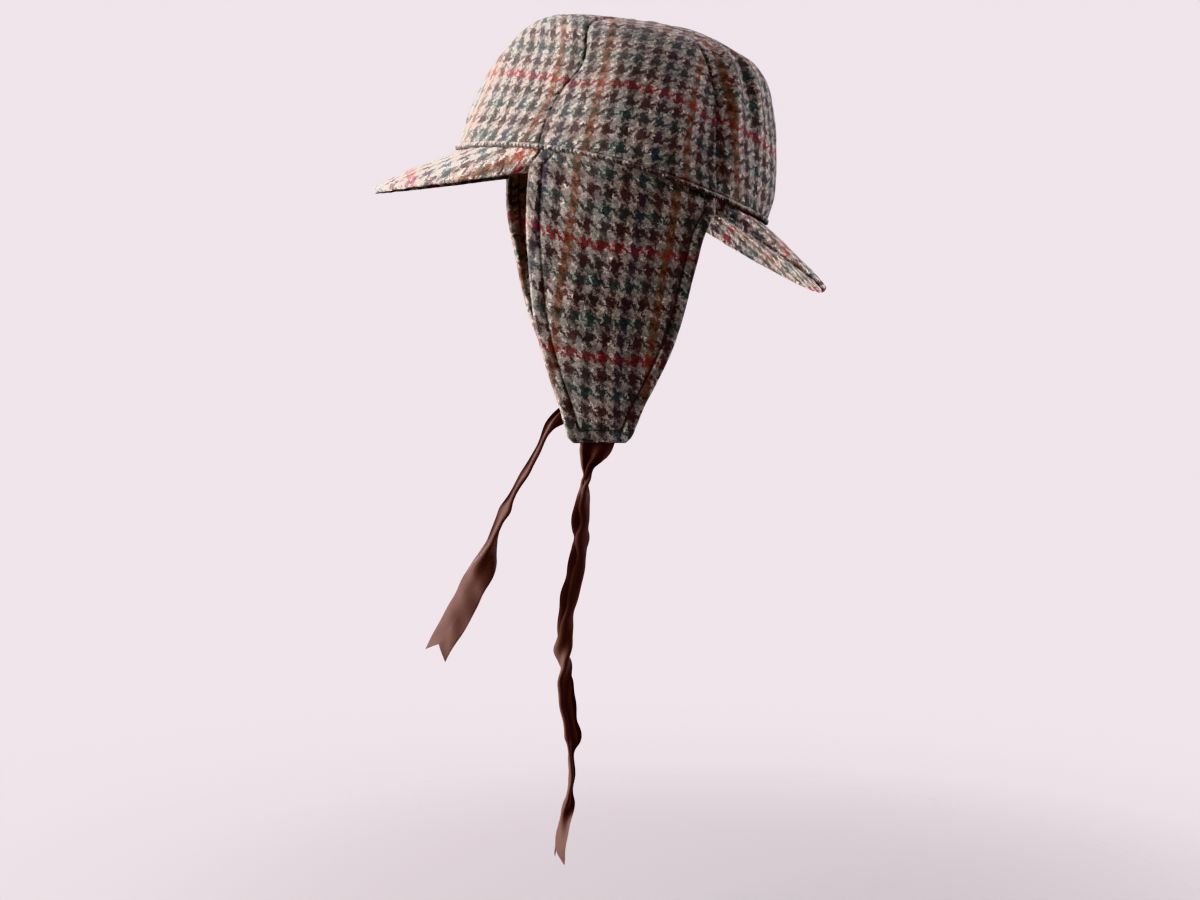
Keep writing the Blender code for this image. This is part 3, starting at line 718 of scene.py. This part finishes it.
def tie_piece(name, bends, hand, finish):
    """A thin satin ribbon, folded lengthwise, twisted and cut to a swallow tail."""
    path = np.array([[bend.side, bend.reach, bend.height] for bend in bends])
    marks = np.concatenate([[0.0], np.cumsum(np.linalg.norm(np.diff(path, axis=0), axis=1))])
    total = marks[-1]
    distances = np.linspace(0.0, total, int(round(total / RIBBON_STEP)) + 1)
    values = {}
    for column in Bend._fields:
        values[column] = through(marks, [getattr(bend, column) for bend in bends], distances)
    centres = np.stack([values["side"], values["reach"], values["height"]], axis=-1)
    along = unit(np.gradient(centres, axis=0))
    level = unit(np.cross(np.array([1.0, 0.0, 0.0]), along))
    out = np.cross(along, level)
    turn = np.radians(values["turn"])[:, None]
    across_way = level * np.cos(turn) + out * np.sin(turn)
    depth_way = np.cross(across_way, along)
    across = np.linspace(-1.0, 1.0, RIBBON_COLUMNS + 1)
    rows = []
    for k, distance in enumerate(distances):
        fold = max(values["fold"][k], 1.0)
        x, y = folded(fold, values["width"][k], values["crease"][k], values["pleat"][k], across)
        tail = SWALLOW_TAIL * np.abs(across) * ease(1.0 - (total - distance) / TAIL_START)
        flutter = FLUTTER[0] * np.sin(distance / 5.3 + 2.2 * across)
        flutter += FLUTTER[1] * np.sin(distance / 2.9 - 3.0 * across)
        free = ease((distance - FLUTTER_START) / 12.0)
        row = centres[k] + across_way[k] * x[:, None] + along[k] * tail[:, None]
        rows.append(row - depth_way[k] * (y - flutter * free)[:, None])
    grid = np.array(rows)
    normals = grid_normals(grid)
    half = 0.5 * RIBBON_CLOTH
    selvedge = half * np.clip((1.0 - np.abs(across)) / SELVEDGE[0], SELVEDGE[1], 1.0)
    outer = grid + normals * selvedge[None, :, None]
    inner = grid - normals * selvedge[None, :, None]
    u = np.broadcast_to(across * 0.5 * RIBBON_WIDTH, grid.shape[:2])
    v = np.broadcast_to(distances[:, None], grid.shape[:2])
    cloth = np.stack([u, v], axis=-1)
    mirror = (hand, 1.0, 1.0)
    maps = {"cloth": (cloth, cloth)}
    piece = skin(name + "_ribbon", outer * mirror, inner * mirror, maps, finish, name)
    flat_length = total + 0.5 * SWALLOW_TAIL
    return piece, flat_length


# ---- Materials ----
class Graph:
    """A material's nodes, with short calls that take numbers or sockets alike."""

    def __init__(self, name):
        self.material = bpy.data.materials.new(name)
        self.material.use_nodes = True
        self.nodes = self.material.node_tree.nodes
        self.links = self.material.node_tree.links
        self.shader = self.nodes["Principled BSDF"]

    def plug(self, socket, value):
        if isinstance(value, bpy.types.NodeSocket):
            self.links.new(value, socket)
        else:
            socket.default_value = value

    def math(self, operation, *values):
        node = self.nodes.new("ShaderNodeMath")
        node.operation = operation
        for socket, value in zip(node.inputs, values):
            self.plug(socket, value)
        return node.outputs[0]

    def times(self, first, second):
        return self.math("MULTIPLY", first, second)

    def minus(self, first, second):
        return self.math("SUBTRACT", first, second)

    def scaled(self, value, factor, start):
        return self.math("MULTIPLY_ADD", value, factor, start)

    def blend(self, factor, low, high, kind="MIX"):
        node = self.nodes.new("ShaderNodeMix")
        node.data_type = "RGBA"
        node.blend_type = kind
        self.plug(node.inputs["Factor"], factor)
        self.plug(node.inputs["A"], low)
        self.plug(node.inputs["B"], high)
        return [socket for socket in node.outputs if socket.type == "RGBA"][0]

    def choose(self, factor, low, high):
        node = self.nodes.new("ShaderNodeMix")
        node.data_type = "FLOAT"
        self.plug(node.inputs["Factor"], factor)
        self.plug(node.inputs["A"], low)
        self.plug(node.inputs["B"], high)
        return node.outputs[0]

    def noise(self, vector, scale, detail=2.0, roughness=0.5, out="Fac"):
        node = self.nodes.new("ShaderNodeTexNoise")
        settings = {"Vector": vector, "Scale": scale, "Detail": detail, "Roughness": roughness}
        for title, value in settings.items():
            self.plug(node.inputs[title], value)
        return node.outputs[out]

    def join(self, x, y, z=0.0):
        node = self.nodes.new("ShaderNodeCombineXYZ")
        for socket, value in zip(node.inputs, (x, y, z)):
            self.plug(socket, value)
        return node.outputs[0]

    def split(self, vector):
        node = self.nodes.new("ShaderNodeSeparateXYZ")
        self.plug(node.inputs[0], vector)
        return node.outputs[0], node.outputs[1]

    def steps(self, factor, colours):
        """Equal bands of colour, one after the other."""
        node = self.nodes.new("ShaderNodeValToRGB")
        ramp = node.color_ramp
        ramp.interpolation = "CONSTANT"
        while len(ramp.elements) < len(colours):
            ramp.elements.new(1.0)
        for k, colour in enumerate(colours):
            ramp.elements[k].position = k / len(colours)
            ramp.elements[k].color = (*colour, 1.0)
        self.plug(node.inputs[0], factor)
        return node.outputs[0]

    def uv(self, title):
        node = self.nodes.new("ShaderNodeUVMap")
        node.uv_map = title
        return node.outputs[0]

    def clamped(self, operation, *values):
        result = self.math(operation, *values)
        result.node.use_clamp = True
        return result

    def line(self, place, at, half_width):
        """1 on a line that lies at one value of a place, falling to 0 on both sides."""
        away = self.math("ABSOLUTE", self.math("SUBTRACT", place, at))
        return self.clamped("MULTIPLY_ADD", away, -1.0 / half_width, 1.0)

    def surface(self, roughness, specular):
        self.shader.inputs["Roughness"].default_value = roughness
        self.shader.inputs["Specular IOR Level"].default_value = specular

    def bump(self, height, distance, strength=1.0):
        node = self.nodes.new("ShaderNodeBump")
        node.inputs["Strength"].default_value = strength
        node.inputs["Distance"].default_value = distance
        self.plug(node.inputs["Height"], height)
        self.links.new(node.outputs[0], self.shader.inputs["Normal"])


PALE_WARP = (0.640, 0.530, 0.475)
GREY_WARP = (0.510, 0.470, 0.430)
PALE_WEFT = (0.385, 0.308, 0.275)
GREY_WEFT = (0.300, 0.275, 0.250)
BROWN = (0.063, 0.033, 0.036)
GREEN = (0.032, 0.078, 0.074)
DUSK = (0.038, 0.045, 0.046)
NAVY = (0.043, 0.040, 0.070)
RUST = (0.270, 0.082, 0.034)
RED = (0.300, 0.032, 0.038)
WARP_COLOURS = (
    RUST, PALE_WARP, BROWN, GREY_WARP, DUSK, PALE_WARP,
    BROWN, PALE_WARP, NAVY, GREY_WARP, BROWN, PALE_WARP,
)
WEFT_COLOURS = (
    RED, PALE_WEFT, BROWN, GREY_WEFT, GREEN, PALE_WEFT,
    BROWN, PALE_WEFT, GREEN, GREY_WEFT, BROWN, PALE_WEFT,
)
FLECK = (0.20, 0.150, 0.132, 1.0)
# a paler colour that the roll is blended towards
ROLL_PALE = (0.62, 0.50, 0.46, 1.0)
ROPE_PITCH = 2.8           # from one turn of the whipping to the next, in millimetres
LINE_WAVER = 1.8           # a sewn line strays within this width
THREAD_DRIFT = 1.8         # threads wander slowly within this many of their widths
THREAD_FRAY = 8.0          # and fray within this many
TWEED_ROUGHNESS = 0.92
TWEED_SPECULAR = 0.12
SHEEN_WEIGHT = 0.32        # loose fibres catch the light at the cloth's turns
SHEEN_ROUGHNESS = 0.3
SHEEN_TINT = (1.0, 0.86, 0.80, 1.0)
TWEED_BUMP = 0.9 * MM      # depth of the threads' relief
RIB_PITCH = 0.55           # of the satin's ribs
RIBBON_DARK = (0.047, 0.025, 0.022, 1.0)
RIBBON_PALE = (0.063, 0.034, 0.030, 1.0)
RIBBON_ROUGHNESS = 0.5
RIBBON_SPECULAR = 0.03
RIBBON_TINT = (1.0, 0.70, 0.64, 1.0)
RIBBON_BUMP = 0.12 * MM
FLOOR_COLOUR = (0.172, 0.156, 0.163, 1.0)
FLOOR_ROUGHNESS = 0.9
FLOOR_SPECULAR = 0.1


def tweed_material(name, roll=0.0, rope=0.0, stitched=None, crease=None, painted_light_gain=1.0):
    """A two-and-two twill of thick woollen threads, their colours set by their count.

    Its edge may be whipped into a roll, with a crease behind it, and stitched inside that. Painted shade
    darkens the low parts of the threads, the roll's underside, the crease and the stitching, and a gain
    paints light or shade over the whole cloth.
    """
    graph = Graph(name)
    cloth = graph.uv("cloth")
    edge = graph.uv("edge")
    edge_along, edge_in = graph.split(edge)
    drift = graph.noise(cloth, 0.16, 2.0, out="Color")
    ragged = graph.noise(cloth, 0.55, 4.0, 0.8, out="Color")
    drift_x, drift_y = graph.split(drift)
    ragged_x, ragged_y = graph.split(ragged)
    x, y = graph.split(cloth)

    def wander(value, slow, fast):
        moved = graph.scaled(graph.minus(slow, 0.5), THREAD_DRIFT, value)
        return graph.scaled(graph.minus(fast, 0.5), THREAD_FRAY, moved)

    x = wander(x, drift_x, ragged_x)
    y = wander(y, drift_y, ragged_y)
    warp_count = graph.math("FLOOR", x)
    weft_count = graph.math("FLOOR", y)
    in_warp = graph.math("FRACT", x)
    in_weft = graph.math("FRACT", y)
    step = graph.math("MODULO", graph.math("ADD", warp_count, weft_count), 4.0)
    warp_up = graph.math("LESS_THAN", step, 1.5)

    warp_colour = graph.steps(graph.math("FRACT", graph.math("DIVIDE", x, REPEAT_THREADS)), WARP_COLOURS)
    weft_colour = graph.steps(graph.math("FRACT", graph.math("DIVIDE", y, REPEAT_THREADS)), WEFT_COLOURS)
    on_top = graph.blend(warp_up, weft_colour, warp_colour)
    below = graph.blend(warp_up, warp_colour, weft_colour)
    shows = graph.clamped("MULTIPLY_ADD", graph.noise(cloth, 1.2, 3.0, 0.8), 7.0, -4.0)
    colour = graph.blend(graph.times(shows, 0.8), on_top, below)

    # Each thread is spun unevenly: its tone changes from thread to thread and along it.
    thread = graph.choose(warp_up, weft_count, warp_count)
    travel = graph.choose(warp_up, x, y)
    spun = graph.join(graph.times(thread, 3.7), graph.times(travel, 0.22), warp_up)
    tone = graph.noise(spun, 1.0, 2.0, 0.6)

    # Fibres lie along whichever thread is on top.
    fine_x = graph.times(x, graph.choose(warp_up, 0.6, 1.9))
    fine_y = graph.times(y, graph.choose(warp_up, 1.9, 0.6))
    fibres = graph.noise(graph.join(fine_x, fine_y, step), 1.0, 3.0, 0.7)
    heather = graph.noise(cloth, 1.1, 3.0, 0.85)

    across = graph.choose(warp_up, in_weft, in_warp)
    warp_along = graph.times(graph.math("ADD", step, in_weft), 0.5)
    weft_along = graph.times(graph.math("ADD", graph.minus(step, 2.0), in_warp), 0.5)
    along = graph.choose(warp_up, weft_along, warp_along)
    round_across = graph.math("POWER", graph.math("SINE", graph.times(across, pi)), 0.5)
    round_along = graph.math("POWER", graph.math("SINE", graph.times(along, pi)), 0.5)
    relief = graph.times(round_across, graph.scaled(round_along, 0.6, 0.4))

    fleck = graph.clamped("MULTIPLY", graph.minus(heather, 0.55), 5.0)
    colour = graph.blend(fleck, colour, FLECK)
    height = graph.scaled(fibres, 0.5, relief)
    grain = graph.noise(cloth, 1.5, 4.0, 0.95)
    speck = graph.nodes.new("ShaderNodeTexWhiteNoise")
    speck.noise_dimensions = "2D"
    graph.links.new(graph.join(warp_count, weft_count), speck.inputs["Vector"])
    # Painted shade: the colour darkens where the threads' relief falls away, between threads and towards
    # the ends of floats. The other factors are the threads' own tone.
    shade = graph.scaled(relief, 0.6, 0.50)
    shade = graph.times(shade, graph.scaled(fibres, 3.0, -0.5))
    shade = graph.times(shade, graph.scaled(tone, 2.6, -0.3))
    pits = graph.math("MAXIMUM", graph.scaled(grain, 5.0, -1.5), 0.12)
    shade = graph.times(shade, pits)
    shade = graph.times(shade, graph.scaled(speck.outputs["Value"], 0.8, 0.6))
    if rope:
        in_roll = graph.clamped("MULTIPLY", graph.minus(roll, edge_in), 1.6)
        turn = graph.scaled(edge_along, 2.0 * pi / ROPE_PITCH, edge_in)
        turn = graph.scaled(graph.noise(edge, 0.22, 2.0), 14.0, turn)
        bead = graph.scaled(graph.math("SINE", turn), 0.5, 0.5)
        in_rope = graph.times(in_roll, rope)
        # The roll is blended a little towards a paler colour.
        colour = graph.blend(graph.times(in_rope, 0.15), colour, ROLL_PALE)
        # Painted light and shade on the roll: its turns lighter and the hollows between them darker.
        painted_roll_light = graph.scaled(bead, 0.9, 0.8)
        if crease is not None:
            # On the crown the roll's lower part is painted dark, in lumps that follow its turns: painted
            # shade under the roll.
            above = graph.minus(edge_in, graph.scaled(bead, 1.5, 0.6))
            painted_roll_light = graph.math("MAXIMUM", graph.clamped("MULTIPLY_ADD", above, 1.4, 0.3), 0.18)
            painted_roll_light = graph.times(painted_roll_light, 1.2)
        shade = graph.choose(in_rope, shade, graph.times(painted_roll_light, shade))
        height = graph.scaled(graph.times(bead, in_rope), 1.8, height)
    # Painted shade along the crease above the roll and in the stitching's groove, where the bump also
    # lowers the cloth.
    for place, width, painted_shade_loss in ((crease, 0.7, 0.4), (stitched, 1.2, 0.85)):
        if place is not None:
            waver = graph.noise(edge, 0.35, 3.0, 0.7)
            wavy = graph.scaled(waver, LINE_WAVER, edge_in)
            line = graph.line(wavy, place + 0.5 * LINE_WAVER, width)
            shade = graph.times(shade, graph.scaled(line, -painted_shade_loss, 1.0))
            height = graph.minus(height, line)
    # Painted light and shade: the whole colour is scaled up or down for each piece, lighter where the light
    # falls strongly and darker where it does not.
    shade = graph.times(shade, painted_light_gain)
    grey = graph.join(shade, shade, shade)
    colour = graph.blend(1.0, colour, grey, "MULTIPLY")
    graph.plug(graph.shader.inputs["Base Color"], colour)
    graph.surface(TWEED_ROUGHNESS, TWEED_SPECULAR)
    graph.shader.inputs["Sheen Weight"].default_value = SHEEN_WEIGHT
    graph.shader.inputs["Sheen Roughness"].default_value = SHEEN_ROUGHNESS
    graph.shader.inputs["Sheen Tint"].default_value = SHEEN_TINT
    graph.bump(height, TWEED_BUMP, 1.0)
    return graph.material


def ribbon_material():
    """Satin ribbon: fine ribs across it, a soft sheen along it."""
    graph = Graph("satin_ribbon")
    x, y = graph.split(graph.uv("cloth"))
    ribs = graph.math("SINE", graph.times(y, 2.0 * pi / RIB_PITCH))
    long_place = graph.join(graph.times(x, 0.35), graph.times(y, 0.03))
    streaks = graph.noise(long_place, 1.0, 2.0)
    worn_place = graph.join(graph.times(x, 0.12), graph.times(y, 0.06))
    wear = graph.noise(worn_place, 1.0, 3.0)
    colour = graph.blend(wear, RIBBON_DARK, RIBBON_PALE)
    graph.plug(graph.shader.inputs["Base Color"], colour)
    graph.surface(RIBBON_ROUGHNESS, RIBBON_SPECULAR)
    graph.shader.inputs["Specular Tint"].default_value = RIBBON_TINT
    fine = graph.times(ribs, 0.5)
    height = graph.scaled(streaks, 1.5, fine)
    graph.bump(height, RIBBON_BUMP, 0.6)
    return graph.material


def floor_material(fade_start, fade_end):
    """Pale and matt, and clear beyond the middle, so that no horizon shows."""
    graph = Graph("pale_floor")
    place = graph.nodes.new("ShaderNodeTexCoord").outputs["Object"]
    length = graph.nodes.new("ShaderNodeVectorMath")
    length.operation = "LENGTH"
    graph.links.new(place, length.inputs[0])
    spread = graph.nodes.new("ShaderNodeMapRange")
    spread.interpolation_type = "SMOOTHSTEP"
    graph.links.new(length.outputs["Value"], spread.inputs["Value"])
    spread.inputs["From Min"].default_value = fade_start
    spread.inputs["From Max"].default_value = fade_end
    spread.inputs["To Min"].default_value = 1.0
    spread.inputs["To Max"].default_value = 0.0
    graph.links.new(spread.outputs["Result"], graph.shader.inputs["Alpha"])
    graph.shader.inputs["Base Color"].default_value = FLOOR_COLOUR
    graph.surface(FLOOR_ROUGHNESS, FLOOR_SPECULAR)
    return graph.material


# ---- The hat ----
def hat():
    above_roll = HEM_HEIGHT + 0.3
    # The gains are painted light and shade: the peaks much lighter, the crown a little lighter and the
    # flaps darker, for how the light falls on each.
    crown_cloth = tweed_material("crown_tweed_painted_light", HEM_HEIGHT, 1.0, crease=above_roll, painted_light_gain=1.06)
    peak_cloth = tweed_material("peak_tweed_painted_light", 2.0, 0.7, painted_light_gain=1.7)
    flap_cloth = tweed_material("flap_tweed_painted_shade", 2.2, 0.35, stitched=FLAP_STITCH_INSET, painted_light_gain=0.88)
    ribbon = ribbon_material()
    pieces = [peak_piece(shape, peak_cloth) for shape in PEAKS]
    for hand in (1, -1):
        for cut, start, end in zip(PANEL_CUTS, SEAMS, SEAMS[1:]):
            pieces.append(crown_panel(cut, start, end, hand, crown_cloth))
    pieces.append(flap_piece("ear_flap_left", 1, 0.0, flap_cloth))
    pieces.append(flap_piece("ear_flap_right", -1, RIGHT_FLAP_SWING, flap_cloth))
    for name, bends, hand in (("tie_left", LEFT_TIE, 1), ("tie_right", RIGHT_TIE, -1)):
        tie, length = tie_piece(name, bends, hand, ribbon)


# ---- Floor, light and camera ----
FLOOR_HEIGHT = -0.47       # this and what follows is in metres
FLOOR_RADIUS = 2.0
FLOOR_FADE = (0.15, 0.75)  # the floor shows fully up to the first, and not beyond the second
LIGHT_TARGET = (0.0, 0.0, -0.05)
SENSOR_WIDTH = 36.0        # of the camera, in millimetres like its lens
CAMERA_AZIMUTH = 82.0      # in degrees, from straight ahead of the hat towards its left
CAMERA_ELEVATION = -1.5
CAMERA_DISTANCE = 1.6      # from the middle of the hem
CAMERA_TARGET = Vector((0.0034, -0.0096, -0.1711))  # what lies at the photograph's centre
CAMERA_LENS = 74.0
BACKDROP = (1.006, 0.908, 0.961, 1.0)
AMBIENT = (0.232, 0.216, 0.229, 1.0)
Light = namedtuple("Light", "name place size power colour")
LIGHTS = (
    Light("key", (-0.25, -2.10, 0.26), 1.2, 208.0, (1.0, 0.99, 0.97)),
    Light("fill", (0.60, -1.90, 0.36), 1.1, 70.0, (1.0, 0.99, 0.97)),
    Light("side", (1.90, -0.60, 0.30), 1.0, 6.0, (1.0, 0.97, 0.95)),
    Light("rear", (-0.40, 1.80, 0.36), 1.1, 66.0, (0.95, 0.95, 1.0)),
    Light("backdrop", (-2.20, 0.0, 1.20), 3.0, 200.0, (1.0, 0.96, 0.99)),
)


def area_light(name, place, target, size, power, colour):
    light = bpy.data.lights.new(name, "AREA")
    light.shape = "DISK"
    light.size = size
    light.energy = power
    light.color = colour
    lamp = bpy.data.objects.new(name, light)
    lamp.location = place
    lamp.rotation_euler = (Vector(target) - Vector(place)).to_track_quat("-Z", "Y").to_euler()
    lamp.visible_camera = False
    bpy.context.collection.objects.link(lamp)


def surroundings():
    """A bright pale backdrop all round, which lights the hat only softly."""
    world = bpy.context.scene.world or bpy.data.worlds.new("studio")
    bpy.context.scene.world = world
    world.use_nodes = True
    nodes = world.node_tree.nodes
    links = world.node_tree.links
    soft = nodes["Background"]
    soft.inputs["Color"].default_value = AMBIENT
    bright = nodes.new("ShaderNodeBackground")
    bright.inputs["Color"].default_value = BACKDROP
    choice = nodes.new("ShaderNodeMixShader")
    links.new(nodes.new("ShaderNodeLightPath").outputs["Is Camera Ray"], choice.inputs["Fac"])
    links.new(soft.outputs[0], choice.inputs[1])
    links.new(bright.outputs[0], choice.inputs[2])
    links.new(choice.outputs[0], nodes["World Output"].inputs["Surface"])


def studio():
    bpy.ops.mesh.primitive_circle_add(vertices=96, radius=FLOOR_RADIUS, fill_type="NGON")
    floor = bpy.context.object
    floor.location = (0.0, 0.0, FLOOR_HEIGHT)
    floor.name = "floor"
    floor.data.materials.append(floor_material(*FLOOR_FADE))
    floor.visible_diffuse = False
    for name, place, size, power, colour in LIGHTS:
        area_light(name, place, LIGHT_TARGET, size, power, colour)
    surroundings()
    lens = bpy.data.cameras.new("camera")
    lens.lens = CAMERA_LENS
    lens.sensor_width = SENSOR_WIDTH
    camera = bpy.data.objects.new("camera", lens)
    azimuth, elevation = radians(CAMERA_AZIMUTH), radians(CAMERA_ELEVATION)
    outward = Vector((sin(azimuth) * cos(elevation), -cos(azimuth) * cos(elevation), sin(elevation)))
    camera.location = CAMERA_DISTANCE * outward
    camera.rotation_euler = (CAMERA_TARGET - camera.location).to_track_quat("-Z", "Y").to_euler()
    bpy.context.collection.objects.link(camera)
    bpy.context.scene.camera = camera


hat()
studio()
bpy.context.scene.view_settings.view_transform = "Khronos PBR Neutral"
